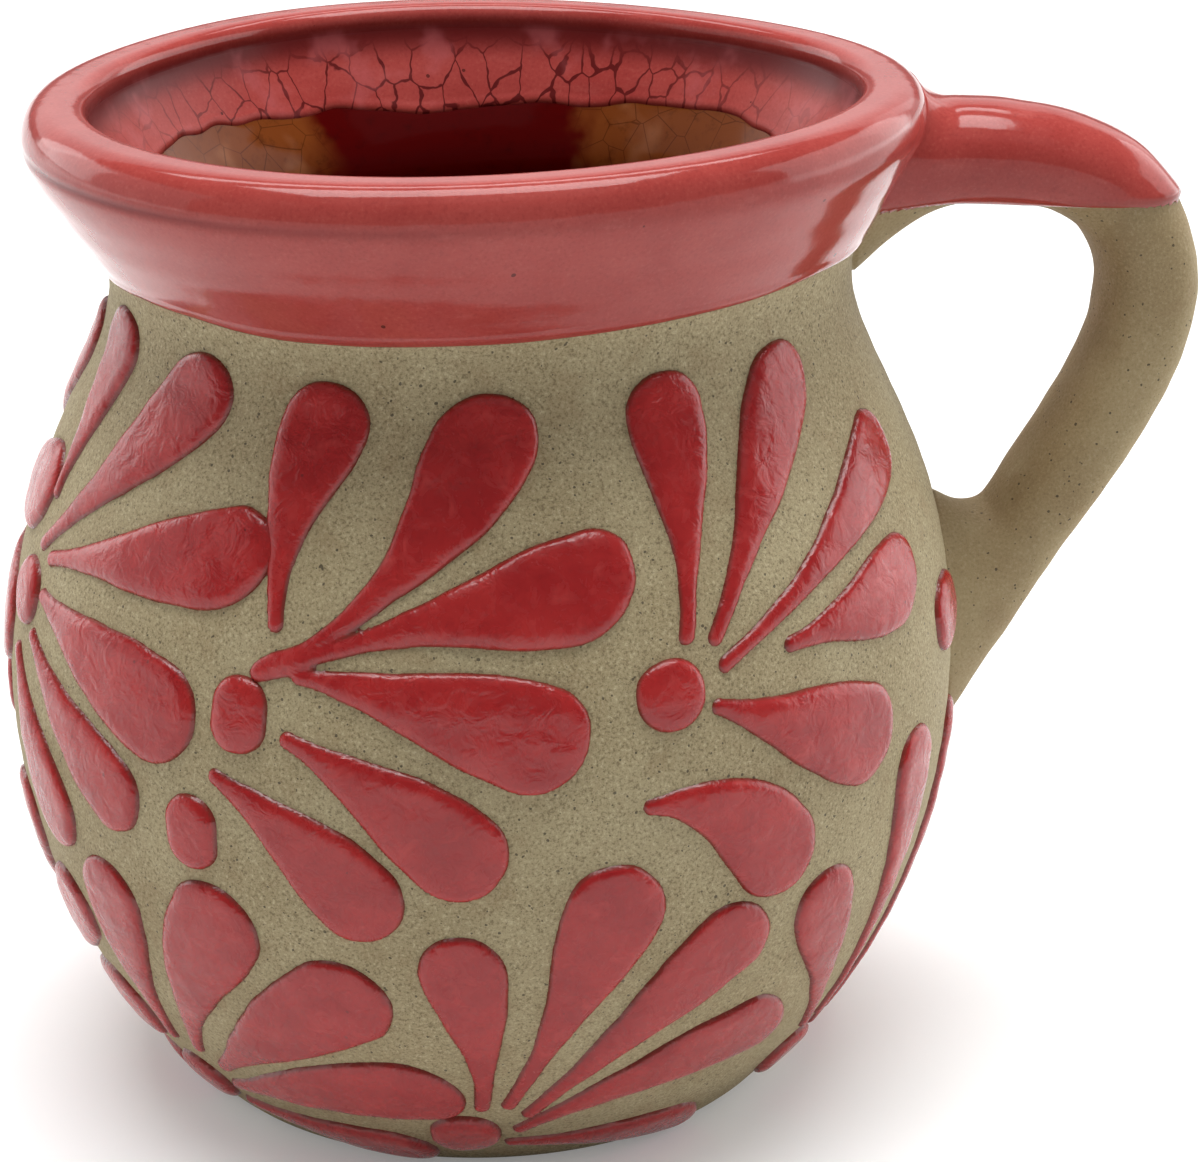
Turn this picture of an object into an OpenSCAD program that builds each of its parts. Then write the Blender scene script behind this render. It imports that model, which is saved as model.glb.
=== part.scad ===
// Jarrito: a hand-thrown clay mug with a round belly, a flared collar and a pulled handle.
// The rim and the top of the handle are dipped in coral glaze, the inside is lined with amber glaze,
// and fans of raised teardrop strokes run round the belly in two rows.
// Millimetres. Z is up, the origin is the middle of the foot, and the handle points along +X.
// Bearings round the pot are in degrees from the front, which is -Y, and grow towards the handle.

/* [Pot] */
// Height of the pot, from the table to the crest of the lip
pot_h = 96.2; // [92:0.5:104]
// Outer radius of the flat foot
foot_r = 29.4; // [26:0.5:33]
// Outer radius of the belly
belly_r = 45.7; // [43:0.5:50]
// Outer radius of the crease between shoulder and collar
neck_r = 33; // [31:0.5:35]
// Outer radius of the lip
lip_r = 41.5; // [39:0.5:45]
// Height of the collar, from the crease to the crest of the lip
collar_h = 15.6; // [14.5:0.5:17]
// Wall thickness of the belly and the collar
wall = 5; // [4:0.25:6]
// Thickness of the floor
floor_t = 6; // [4.5:0.25:8]
// Thickness of the lip
lip_t = 5.2; // [4.8:0.1:6]
// Rounding of the edge of the foot
foot_round = 0.8; // [0.4:0.1:1.5]

/* [Glaze] */
// Thickness of each glaze coat
glaze_t = 0.35; // [0.25:0.05:0.6]
// Height of the dip line above the crease of the neck
dip_rise = 0.9; // [0.5:0.1:2]
// Depth of the coral band inside, below the crest of the lip
band_h = 9.7; // [8:0.1:11]

/* [Handle] */
// Thickness of the handle at the collar, seen from the side
handle_t = 9.8; // [8:0.2:11]
// Width of the handle, seen from behind it
handle_w = 13; // [10:0.5:15]
// Distance from the pot's axis to the outermost point of the handle
handle_reach = 69.2; // [67:0.5:74]
// Depth of the middle of the upper arm below the crest of the lip
arm_drop = 8; // [7.4:0.1:9]
// Height of the upper root, where the handle grows out of the collar
upper_root_h = 17.4; // [16:0.2:18]
// Depth of the middle of the upper root below the crest of the lip
upper_root_drop = 10.6; // [10.4:0.1:11]
// Height of the lower root, where the handle rests on the belly
lower_root_h = 29; // [25:0.5:30]
// Height of the middle of the lower root above the table
lower_root_z = 41.8; // [40:0.5:43]
// Width of both roots
root_w = 16; // [13:0.5:18]

/* [Raised strokes] */
// Height of the raised strokes
relief_h = 0.75; // [0.5:0.05:1.2]
// Size of a fan, which its strokes follow
fan_size = 30; // [27:0.5:31]
// Width and height of a round dot
dot_d = 6.6; // [5:0.2:7.4]
// Width of a stroke at its thin end
tail_w = 1.2; // [0.8:0.1:1.6]
// Distance up the wall, from the foot to the dots of the upper fans
upper_row = 55; // [54:0.5:57]
// Distance up the wall, from the foot to the dots of the lower fans
lower_row = 8.25; // [8:0.25:10]

/* [Hidden] */

// Gap between a coat or a stroke and the clay under it, so that neighbours touch without cutting in
seat_gap = 0.05;
// Gap between the roots of the handle and the curved wall
root_gap = 0.15;
// Gap between the facets of the handle and its coat
coat_gap = 0.35;
// Overrun of a cut past the wall
overrun = 5;
// The fans are drawn for a wall of this height along its outside, from the foot to the dip line, and for a
// belly of this radius. They are stretched over the wall that the pot has.
pattern_h = 88.7;
pattern_r = 46;
clay_colour = "#968b6f";
coral_colour = "#c4535a";
amber_colour = "#7a3a18";

// Heights of the corners of the pot's outline, as shares of its height
bowl_share = 0.195;
shoulder_share = 0.53;
// Share of the low wall that the curve of the bowl takes up
bowl_reach_share = 0.765;
neck_z = pot_h - collar_h;
bowl_z = bowl_share * pot_h;
shoulder_z = shoulder_share * pot_h;
collar_z = pot_h - 0.77 * lip_t;
roll_z = pot_h - 0.5 * lip_t;
shoulder_round = 0.25 * belly_r;
belly_z = shoulder_z - shoulder_round;
neck_round = 0.125 * neck_r;
// Roundings of the lip: its outside, its crest and its inner edge
lip_roll = 0.63 * lip_t;
lip_round = 0.49 * lip_t;
edge_round = 0.24 * lip_t;
crest_r = lip_r - lip_t / 2;
in_neck_r = neck_r - wall;
in_belly_r = belly_r - wall;
bowl_reach = bowl_reach_share * norm([belly_r - foot_r, bowl_z]);

// Corners are [radius, height, rounding before, rounding after, steps]. No steps keep the corner sharp.
outer_corners = [
    [0, 0, 0, 0, 0],
    [foot_r, 0, foot_round, foot_round, 3],
    [belly_r, bowl_z, bowl_reach, belly_z - bowl_z, 14],
    [belly_r, shoulder_z, 0.95 * shoulder_round, shoulder_round, 8],
    [neck_r, neck_z, neck_round, neck_round, 5],
    [lip_r, collar_z, 0.6 * lip_roll, lip_roll / 5, 4],
    [lip_r, pot_h, lip_roll, lip_round, 6],
    [crest_r, pot_h, 0, 0, 0],
];
inner_corners = [
    [crest_r, pot_h, 0, 0, 0],
    [lip_r - lip_t, pot_h, edge_round, edge_round, 4],
    [lip_r - lip_t, roll_z, edge_round, lip_round, 4],
    [in_neck_r, neck_z + wall / 10, 1.2 * neck_round, 1.2 * neck_round, 6],
    [in_belly_r, shoulder_z - wall / 4, shoulder_round, shoulder_round, 6],
    [in_belly_r, floor_t, belly_z - wall / 2 - floor_t, 0.68 * in_belly_r, 12],
    [0, floor_t, 0, 0, 0],
];

function toward(a, b, d) = a + (b - a) * d / norm(b - a);
function bend(a, b, c, steps) = [for (i = [0:steps])
    let (t = i / steps)
    pow(1 - t, 2) * a + 2 * t * (1 - t) * b + t * t * c];
function spot(corner) = [corner[0], corner[1]];
function rounded(c) = [for (i = [0:len(c) - 1])
    let (here = spot(c[i]), ends = c[i][4] == 0)
    each ends ? [here] : bend(
        toward(here, spot(c[i - 1]), c[i][2]), here,
        toward(here, spot(c[i + 1]), c[i][3]), c[i][4])];

outer_line = rounded(outer_corners);
inner_line = rounded(inner_corners);

// The wall line starts at the foot. Its running length gives the place of every stroke.
wall_line = [for (i = [1:len(outer_line) - 1]) outer_line[i]];
wall_run = [for (i = 0, run = 0; i < len(wall_line);
    run = run + (i + 1 < len(wall_line) ? norm(wall_line[i + 1] - wall_line[i]) : 0), i = i + 1) run];
run_to_r = [for (i = [0:len(wall_line) - 1]) [wall_run[i], wall_line[i][0]]];
run_to_z = [for (i = [0:len(wall_line) - 1]) [wall_run[i], wall_line[i][1]]];
z_to_r = [for (p = wall_line) [p[1], p[0]]];
z_to_run = [for (p = run_to_z) [p[1], p[0]]];

function wall_spot(run) = [lookup(run, run_to_r), lookup(run, run_to_z)];
function wall_normal(run) =
    let (step = wall / 5, d = wall_spot(run + step) - wall_spot(run - step))
    [d[1], -d[0]] / norm(d);
// Point on the outside of the pot, from its bearing, its run up the wall and its lift off the clay
function on_wall(bearing, run, lift) =
    let (p = wall_spot(run) + lift * wall_normal(run))
    [p[0] * sin(bearing), -p[0] * cos(bearing), p[1]];

// A line moved sideways by d, to its right
function aside(line, d) = [for (i = [0:len(line) - 1])
    let (a = line[max(i - 1, 0)], b = line[min(i + 1, len(line) - 1)], way = (b - a) / norm(b - a))
    line[i] + d * [way[1], -way[0]]];
function crossing(line, z) = [for (i = [0:len(line) - 2])
    let (a = line[i], b = line[i + 1])
    if ((a[1] - z) * (b[1] - z) < 0) a + (b - a) * (z - a[1]) / (b[1] - a[1])][0];
function reversed(list) = [for (i = [len(list) - 1:-1:0]) list[i]];
// Closed section of a coat that covers a line
function coat(line) = concat(aside(line, seat_gap), reversed(aside(line, glaze_t)));

dip_z = neck_z + dip_rise;
band_z = pot_h - band_h;
// Steps of the outline nearer than this to a clipped end are left out
near_z = glaze_t / 2;
rim_line = concat(
    [crossing(outer_line, dip_z)],
    [for (p = outer_line) if (p[1] > dip_z + near_z && p[1] < pot_h) p],
    [for (p = inner_line) if (p[1] > band_z + near_z) p],
    [crossing(inner_line, band_z)]);
liner_line = concat(
    [crossing(inner_line, band_z - seat_gap)],
    [for (p = inner_line) if (p[1] < band_z - near_z && p[0] > 0) p]);
liner_end = [[0, floor_t + glaze_t], [0, floor_t + seat_gap]];

module clay_body() {
    color(clay_colour)
    rotate_extrude($fn = 96)
    polygon(concat([for (i = [0:len(outer_line) - 2]) outer_line[i]], inner_line));
}

// Everything outside the middle of the wall, from the shoulder to the crest of the lip
collar_outside = [[neck_r - wall / 2, shoulder_z], [neck_r - wall / 2, neck_z], [crest_r, collar_z],
    [crest_r, pot_h + overrun], [lip_r + overrun, pot_h + overrun], [lip_r + overrun, shoulder_z]];

// The coat on the rim stops round the upper root of the handle, where clay meets clay
module rim_glaze() {
    color(coral_colour)
    difference() {
        rotate_extrude($fn = 96)
        polygon(coat(rim_line));
        intersection() {
            translate([0, 0, pot_h - upper_root_drop])
            rotate([90, 0, 90])
            linear_extrude(lip_r + overrun)
            polygon(oval(root_w / 2 + seat_gap, upper_root_h / 2 + seat_gap, 24));
            rotate_extrude($fn = 96)
            polygon(collar_outside);
        }
    }
}

module liner_glaze() {
    outside = aside(liner_line, seat_gap);
    inside = reversed(aside(liner_line, glaze_t));
    color(amber_colour)
    rotate_extrude($fn = 96)
    polygon(concat(outside, [liner_end[1], liner_end[0]], inside));
}

function oval(a, b, sides) = [for (j = [0:sides - 1]) [a * cos(360 * j / sides), b * sin(360 * j / sides)]];

// Handle. Its middle line runs from the collar out and down to the belly, in the plane y = 0.
arm_z = pot_h - arm_drop;
arm_start_x = lip_r + handle_t / 8;
arm_end_z = lower_root_z + 0.45 * handle_t;
out_x = handle_reach - handle_t / 2;
// Stations of the middle line: [share of the way out, share of the way up]
middle_shares = [[-0.124, 0.995], [0.128, 1.005], [0.385, 0.996], [0.643, 0.966], [0.878, 0.883],
    [1.007, 0.75], [1.004, 0.6], [0.903, 0.449], [0.715, 0.281], [0.506, 0.115], [0.314, -0.029]];
middle_knots = [for (s = middle_shares)
    [arm_start_x + s[0] * (out_x - arm_start_x), arm_end_z + s[1] * (arm_z - arm_end_z)]];

handle_sides = 20;
arm_steps = 2;
root_steps = 5;
// Smooth curve through the knots, and its direction
function knot(i) = middle_knots[i];
function smooth(a, b, c, d, t) = (2 * b + (c - a) * t + (2 * a - 5 * b + 4 * c - d) * t * t
    + (3 * b - a - 3 * c + d) * t * t * t) / 2;
function smooth_way(a, b, c, d, t) = ((c - a) + 2 * (2 * a - 5 * b + 4 * c - d) * t
    + 3 * (3 * b - a - 3 * c + d) * t * t) / 2;
arm_count = (len(middle_knots) - 3) * arm_steps;
function arm_spot(k) =
    let (i = min(floor(k / arm_steps), len(middle_knots) - 4), t = k / arm_steps - i)
    smooth(knot(i), knot(i + 1), knot(i + 2), knot(i + 3), t);
function arm_way(k) =
    let (i = min(floor(k / arm_steps), len(middle_knots) - 4), t = k / arm_steps - i,
        d = smooth_way(knot(i), knot(i + 1), knot(i + 2), knot(i + 3), t))
    d / norm(d);
// Half the thickness of the arm at station k. It thins towards the belly.
taper_share = 0.85;
function arm_half(k) = handle_t / 2 * (1 - (1 - taper_share) * pow(k / arm_count, 1.5));
// Ring of the arm at station k, grown by lift. Side 0 is the outer side, away from the fingers.
function arm_point(k, a, lift) =
    let (p = arm_spot(k), d = arm_way(k),
        reach = (arm_half(k) + lift) * cos(a))
    [p[0] - d[1] * reach, (handle_w / 2 + lift) * sin(a), p[1] + d[0] * reach];
// Point on the curved wall in front of the handle
function root_point(y, z, lift) =
    let (r = lookup(z, z_to_r) + lift)
    [sqrt(r * r - y * y), y, z];
function upper_root(a, size, lift) =
    root_point(size * root_w / 2 * sin(a), pot_h - upper_root_drop + size * upper_root_h / 2 * cos(a), lift);
function lower_root(a, size, lift) =
    root_point(size * root_w / 2 * sin(a), lower_root_z - size * lower_root_h / 2 * cos(a), lift);
// Flare from a ring of the arm to a root: the curve leaves along the arm, for a share of the gap that is
// given for side 0 and for the inner side, and meets the wall in a fillet
upper_flare_shares = [0.62, 0.55];
lower_flare_shares = [0.72, 0.15];
fillet_share = 0.14;
function flared(from, way, root, shares, a, t) =
    let (gap = norm(root - from), share = shares[0] + (shares[1] - shares[0]) * (1 - cos(a)) / 2,
        start = from + way * gap * share, end = root + (from - root) * fillet_share)
    pow(1 - t, 3) * from + 3 * t * pow(1 - t, 2) * start + 3 * t * t * (1 - t) * end + t * t * t * root;

angles = [for (j = [0:handle_sides - 1]) 360 * j / handle_sides];
way_in = [-arm_way(0)[0], 0, -arm_way(0)[1]];
way_out = [arm_way(arm_count)[0], 0, arm_way(arm_count)[1]];
upper_rings = [for (i = [root_steps:-1:1]) [for (a = angles)
    flared(arm_point(0, a, 0), way_in, upper_root(a, 1, root_gap), upper_flare_shares, a, i / root_steps)]];
arm_rings = [for (k = [0:arm_count]) [for (a = angles) arm_point(k, a, 0)]];
lower_rings = [for (i = [1:root_steps]) [for (a = angles)
    flared(arm_point(arm_count, a, 0), way_out, lower_root(a, 1, root_gap), lower_flare_shares, a,
        i / root_steps)]];
cap_shares = [0.9, 0.8, 0.7, 0.6, 0.45, 0.25];
upper_cap = [for (size = reversed(cap_shares)) [for (a = angles) upper_root(a, size, root_gap)]];
lower_cap = [for (size = cap_shares) [for (a = angles) lower_root(a, size, root_gap)]];

// Skin over rings of equal count, closed at both ends by a middle point
module skinned(rings, first, last) {
    n = len(rings[0]);
    m = len(rings);
    points = concat([first], [for (ring = rings) each ring], [last]);
    sides = [for (i = [0:m - 2], j = [0:n - 1])
        let (a = 1 + i * n + j, b = 1 + i * n + (j + 1) % n)
        each [[a, b, b + n], [a, b + n, a + n]]];
    start = [for (j = [0:n - 1]) [0, 1 + (j + 1) % n, 1 + j]];
    end_at = 1 + (m - 1) * n;
    end = [for (j = [0:n - 1]) [len(points) - 1, end_at + j, end_at + (j + 1) % n]];
    polyhedron(points, concat(start, sides, end));
}

module handle() {
    color(clay_colour)
    skinned(concat(upper_cap, upper_rings, arm_rings, lower_rings, lower_cap),
        upper_root(0, 0, root_gap), lower_root(0, 0, root_gap));
}

// Glaze on the handle: a coat over the part of each ring that lies above the dip line. It starts a little
// outside the root, and ends at the ring whose outer side has sunk to the dip line.
handle_dip_z = dip_z + 2 * dip_rise;
coat_sides = 20;
// Widest and narrowest half arc of the coat round the arm, in degrees
widest_coat = 166;
narrowest_coat = 14;
// Share of the arm's direction that points outward, below which the arm counts as upright
upright_share = 0.02;
function coat_half(k) =
    let (lean = max(arm_way(k)[0], upright_share),
        c = (handle_dip_z - arm_spot(k)[1]) / (lean * arm_half(k)))
    min(widest_coat, max(narrowest_coat, acos(min(1, max(-1, c)))));
coat_last = max([for (k = [0:arm_count])
    let (p = arm_spot(k), d = arm_way(k))
    if (p[1] + d[0] * arm_half(k) > handle_dip_z && d[0] > upright_share) k]);
function coat_ring(k, lift) =
    let (half = coat_half(k))
    [for (j = [0:coat_sides]) arm_point(k, half * (2 * j / coat_sides - 1), lift)];
function coat_root_ring(t, lift) = [for (j = [0:coat_sides])
    let (a = widest_coat * (2 * j / coat_sides - 1))
    flared(arm_point(0, a, lift), way_in, upper_root(a, 1 + lift / handle_t, root_gap + glaze_t),
        upper_flare_shares, a, t)];
function coat_grid(lift) = concat(
    [for (i = [root_steps:-1:1]) coat_root_ring(i / root_steps, lift)],
    [for (k = [0:coat_last]) coat_ring(k, lift)]);

// Open sheet between two grids of points, closed along its four edges
module sheet(outside, inside) {
    m = len(outside);
    n = len(outside[0]);
    points = concat([for (ring = outside) each ring], [for (ring = inside) each ring]);
    function quad(a, b, c, d) = [[a, b, c], [a, c, d]];
    function out(i, j) = i * n + j;
    function in(i, j) = (m + i) * n + j;
    skins = [for (i = [0:m - 2], j = [0:n - 2]) each concat(
        quad(out(i, j), out(i, j + 1), out(i + 1, j + 1), out(i + 1, j)),
        quad(in(i, j), in(i + 1, j), in(i + 1, j + 1), in(i, j + 1)))];
    ends = [for (j = [0:n - 2]) each concat(
        quad(out(0, j + 1), out(0, j), in(0, j), in(0, j + 1)),
        quad(out(m - 1, j), out(m - 1, j + 1), in(m - 1, j + 1), in(m - 1, j)))];
    sides = [for (i = [0:m - 2]) each concat(
        quad(out(i, 0), out(i + 1, 0), in(i + 1, 0), in(i, 0)),
        quad(out(i + 1, n - 1), out(i, n - 1), in(i, n - 1), in(i + 1, n - 1)))];
    polyhedron(points, concat(skins, ends, sides));
}

module handle_glaze() {
    color(coral_colour)
    sheet(coat_grid(coat_gap + glaze_t / 2), coat_grid(coat_gap));
}

// Raised strokes. Each is [root across, root up, head across, head up, head width, bow, slimness]:
// all but the last are shares of the fan's size, measured from the fan's dot along the wall. Bow bends
// the stroke to its left. A slim stroke keeps a thin stem and opens late into its round head.
upper_a_shares = [
    [0.02, 0.33, 0.10, 0.84, 0.25, 0.00, 1.8],
    [0.05, 0.17, 0.57, 0.78, 0.30, -0.05, 2.0],
    [0.15, 0.15, 0.92, 0.36, 0.31, 0.02, 1.8],
    [0.15, 0.03, 0.83, -0.13, 0.32, 0.03, 1.4],
    [0.12, -0.11, 0.66, -0.43, 0.26, 0.00, 1.5],
    [-0.03, -0.20, 0.29, -0.61, 0.27, 0.00, 1.5]];
upper_b_shares = [
    [0.09, 0.27, 0.14, 0.865, 0.28, 0.08, 2.2],
    [0.03, 0.15, 0.585, 0.80, 0.33, -0.15, 3.0],
    [0.235, 0.205, 0.93, 0.405, 0.33, 0.06, 2.2],
    [0.15, 0.09, 0.86, -0.03, 0.32, 0.06, 1.5],
    [0.14, -0.05, 0.65, -0.36, 0.30, 0.05, 1.5],
    [-0.10, -0.19, 0.35, -0.52, 0.29, 0.06, 1.5]];
upper_h_shares = [
    [0.07, 0.28, 0.12, 0.82, 0.27, 0.06, 2.0],
    [0.05, 0.16, 0.60, 0.78, 0.30, -0.10, 2.4],
    [0.20, 0.19, 0.92, 0.38, 0.30, 0.04, 2.0],
    [0.15, 0.08, 0.80, -0.03, 0.31, 0.05, 1.5],
    [0.14, -0.05, 0.64, -0.38, 0.29, 0.03, 1.4],
    [-0.07, -0.19, 0.32, -0.54, 0.26, 0.04, 1.5]];
upper_c_shares = [
    [0.06, 0.16, 0.105, 0.785, 0.26, -0.04, 2.2],
    [0.15, 0.14, 0.54, 0.785, 0.27, 0.00, 2.0],
    [0.18, 0.06, 0.97, 0.49, 0.25, 0.00, 2.4],
    [0.42, 0.07, 0.95, 0.11, 0.28, 0.00, 1.6],
    [0.15, -0.06, 0.72, -0.29, 0.32, 0.00, 1.4],
    [-0.07, -0.32, 0.36, -0.56, 0.31, 0.13, 1.3]];
lower_d_shares = [
    [-0.02, 0.22, -0.01, 0.80, 0.29, 0.00, 1.8],
    [0.11, 0.22, 0.45, 0.85, 0.32, 0.05, 1.7],
    [0.19, 0.16, 0.83, 0.66, 0.31, 0.04, 1.4],
    [0.17, 0.04, 0.90, 0.26, 0.30, 0.06, 1.3],
    [0.14, -0.08, 0.66, -0.13, 0.20, 0.00, 1.4]];
lower_e_shares = [
    [0.06, 0.18, 0.02, 0.80, 0.26, -0.05, 2.2],
    [0.14, 0.19, 0.475, 0.985, 0.31, 0.00, 2.6],
    [0.20, 0.13, 0.86, 0.80, 0.27, 0.08, 2.0],
    [0.17, 0.03, 0.96, 0.38, 0.27, 0.12, 1.6],
    [0.14, -0.08, 0.68, -0.13, 0.20, 0.00, 1.4]];
lower_f_shares = [
    [-0.04, 0.18, -0.31, 0.81, 0.26, 0.00, 2.2],
    [0.05, 0.19, 0.14, 1.12, 0.25, 0.00, 2.6],
    [0.15, 0.15, 0.67, 1.04, 0.19, -0.06, 2.4],
    [0.18, 0.04, 0.90, 0.34, 0.27, 0.06, 1.6],
    [0.14, -0.08, 0.66, -0.13, 0.20, 0.00, 1.4]];
lower_g_shares = [
    [0.00, 0.18, 0.02, 0.58, 0.22, 0.00, 1.8],
    [0.11, 0.19, 0.34, 0.64, 0.23, 0.00, 2.0],
    [0.17, 0.11, 0.54, 0.36, 0.23, 0.04, 1.6],
    [0.15, -0.03, 0.40, -0.02, 0.19, 0.00, 1.4]];
lower_h_shares = [
    [0.01, 0.21, 0.02, 0.78, 0.27, 0.00, 1.8],
    [0.12, 0.21, 0.45, 0.84, 0.29, 0.03, 1.9],
    [0.19, 0.15, 0.76, 0.64, 0.27, 0.05, 1.6],
    [0.17, 0.04, 0.76, 0.27, 0.26, 0.07, 1.4],
    [0.14, -0.08, 0.58, -0.13, 0.20, 0.00, 1.4]];
// Fans: [share of the way round, rise above the row as a share of the fan's size, strokes]. The way round
// starts and ends at the sides of the handle's lower root, and runs over the back to the front.
upper_fan_shares = [[0.5395, 0.075, upper_a_shares], [0.6688, 0, upper_b_shares],
    [0.8115, 0.07, upper_c_shares], [0.016, 0.02, upper_h_shares], [0.147, 0, upper_a_shares],
    [0.2773, 0.02, upper_h_shares], [0.4085, 0.01, upper_a_shares]];
lower_fan_shares = [[0.603, 0, lower_d_shares], [0.739, 0, lower_e_shares], [0.914, 0, lower_f_shares],
    [-0.004, 0, lower_g_shares], [0.091, 0.02, lower_h_shares], [0.218, 0, lower_h_shares],
    [0.347, 0.01, lower_h_shares], [0.475, 0, lower_h_shares]];
// Single ovals that fill gaps: [share of the way round, share of the upper row's height, width share,
// height share of a dot]
oval_shares = [[0.6487, 0.785, 0.85, 1.1], [0.969, 0.967, 1.3, 1.1]];
// Width of the wall at shares of the pattern's height, as shares of the belly's radius
width_shares = [[0, 0.63], [0.1, 0.765], [0.2, 0.87], [0.3, 0.942], [0.4, 0.984], [0.5, 1], [0.6, 0.989],
    [0.7, 0.947], [0.8, 0.876], [0.9, 0.8], [1, 0.75]];

stroke_steps = 6;
head_steps = 3;
// Across a stroke: [share of the half width, share of the height]
dome_shares = [[-1, 0], [-0.84, 0.62], [-0.4, 0.95], [0.4, 0.95], [0.84, 0.62], [1, 0]];

function stroke_spot(s, t) =
    let (root = [s[0], s[1]], head = [s[2], s[3]], mid = (root + head) / 2,
        way = (head - root) / norm(head - root), knee = mid + s[5] * [-way[1], way[0]])
    (pow(1 - t, 2) * root + 2 * t * (1 - t) * knee + t * t * head) * fan_size;
// Share of a stroke's length over which its direction is taken
way_share = 0.02;
function stroke_way(s, t) =
    let (d = stroke_spot(s, t + way_share) - stroke_spot(s, t - way_share))
    d / norm(d);
function half_width(s, t) =
    let (head = s[4] * fan_size / 2)
    tail_w / 2 + (head - tail_w / 2) * sin(90 * pow(t, s[6]));
function height_at(t) = relief_h * (0.55 + 0.45 * t);
// The pattern ends at the dip line, and leaves out the arc that the handle's lower root covers
wall_h = lookup(dip_z, z_to_run);
root_side = asin(root_w / 2 / belly_r);
open_arc = 360 - 2 * root_side;
pattern_arc = 360 - 2 * asin(root_w / 2 / pattern_r);
function bearing_at(share) = 90 + root_side + share * open_arc;
// Place on the wall of a point of a fan, from its offset across and up
function fan_point(share, row, at, lift) =
    let (up = (row + at[1]) / pattern_h, across = at[0] / (pattern_r * lookup(up, width_shares)))
    on_wall(bearing_at(share) + across * 180 / PI * open_arc / pattern_arc, up * wall_h, lift);
function dome_ring(share, row, mid, way, half, high) = concat(
    [for (d = dome_shares)
        fan_point(share, row, mid + d[0] * half * [way[1], -way[0]], seat_gap + d[1] * high)],
    [fan_point(share, row, mid, seat_gap)]);

module stroke(share, row, s) {
    head = s[4] * fan_size / 2;
    end_way = stroke_way(s, 1);
    head_at = stroke_spot(s, 1);
    body = [for (i = [0:stroke_steps - 1])
        let (t = 1 - pow(1 - i / (stroke_steps - 1), 1.2))
        dome_ring(share, row, stroke_spot(s, t), stroke_way(s, t), half_width(s, t), height_at(t))];
    cap = [for (i = [1:head_steps - 1])
        let (a = 90 * i / head_steps)
        dome_ring(share, row, head_at + end_way * head * sin(a), end_way, head * cos(a),
            relief_h * sqrt(cos(a)))];
    tip = fan_point(share, row, head_at + end_way * head, seat_gap);
    tail = fan_point(share, row, stroke_spot(s, 0) - stroke_way(s, 0) * tail_w / 2, seat_gap);
    skinned(concat(body, cap), tail, tip);
}

module fan(share, row, strokes) {
    color(coral_colour)
    for (s = strokes) stroke(share, row, s);
}

dot_sides = 12;
// Rings of a dot: [share of the radius, share of the height]
dot_shares = [[0.5, 0], [1, 0], [0.88, 0.6], [0.55, 0.95]];
module dot(share, row, wide, high) {
    rings = [for (d = dot_shares) [for (j = [0:dot_sides - 1])
        let (a = -360 * j / dot_sides)
        fan_point(share, row, d[0] / 2 * [wide * cos(a), high * sin(a)], seat_gap + d[1] * relief_h)]];
    color(coral_colour)
    skinned(rings, fan_point(share, row, [0, 0], seat_gap), fan_point(share, row, [0, 0], relief_h));
}

module fan_at(row, f) { fan(f[0], row + f[1] * fan_size, f[2]); }
module upper_fan(i) { fan_at(upper_row, upper_fan_shares[i]); }
module lower_fan(i) { fan_at(lower_row, lower_fan_shares[i]); }
module upper_dots() {
    for (f = upper_fan_shares) dot(f[0], upper_row + f[1] * fan_size, dot_d, dot_d);
}
module lower_dots() {
    for (f = lower_fan_shares) dot(f[0], lower_row + f[1] * fan_size, dot_d, dot_d * 1.1);
}
module oval_dots() {
    for (o = oval_shares) dot(o[0], o[1] * upper_row, o[2] * dot_d, o[3] * dot_d);
}

clay_body();
handle();
rim_glaze();
liner_glaze();
handle_glaze();
upper_fan(0);  // upper_fan_1
upper_fan(1);  // upper_fan_2
upper_fan(2);  // upper_fan_3
upper_fan(3);  // upper_fan_4
upper_fan(4);  // upper_fan_5
upper_fan(5);  // upper_fan_6
upper_fan(6);  // upper_fan_7
lower_fan(0);  // lower_fan_1
lower_fan(1);  // lower_fan_2
lower_fan(2);  // lower_fan_3
lower_fan(3);  // lower_fan_4
lower_fan(4);  // lower_fan_5
lower_fan(5);  // lower_fan_6
lower_fan(6);  // lower_fan_7
lower_fan(7);  // lower_fan_8
upper_dots();
lower_dots();
oval_dots();
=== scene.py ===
import math

import bpy
import numpy as np
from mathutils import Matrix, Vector, noise


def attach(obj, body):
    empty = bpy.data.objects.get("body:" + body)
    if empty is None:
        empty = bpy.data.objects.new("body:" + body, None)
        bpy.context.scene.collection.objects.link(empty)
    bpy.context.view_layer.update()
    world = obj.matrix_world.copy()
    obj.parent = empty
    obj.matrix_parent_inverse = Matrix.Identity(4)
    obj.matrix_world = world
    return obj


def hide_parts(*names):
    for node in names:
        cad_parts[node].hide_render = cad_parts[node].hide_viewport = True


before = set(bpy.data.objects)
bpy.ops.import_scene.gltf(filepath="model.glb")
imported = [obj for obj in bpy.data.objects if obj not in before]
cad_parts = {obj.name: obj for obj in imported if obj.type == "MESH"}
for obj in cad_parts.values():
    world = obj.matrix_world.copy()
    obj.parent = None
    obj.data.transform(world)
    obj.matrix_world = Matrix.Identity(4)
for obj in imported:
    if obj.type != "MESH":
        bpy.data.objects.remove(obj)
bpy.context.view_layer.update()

MM = 0.001

# Sizes of the pot and its glaze, as in the CAD source
POT_H = 96.2
FOOT_R = 29.4
BELLY_R = 45.7
NECK_R = 33.0
LIP_R = 41.5
COLLAR_H = 15.6
WALL = 5.0
FLOOR_T = 6.0
LIP_T = 5.2
FOOT_ROUND = 0.8
GLAZE_T = 0.35

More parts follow.
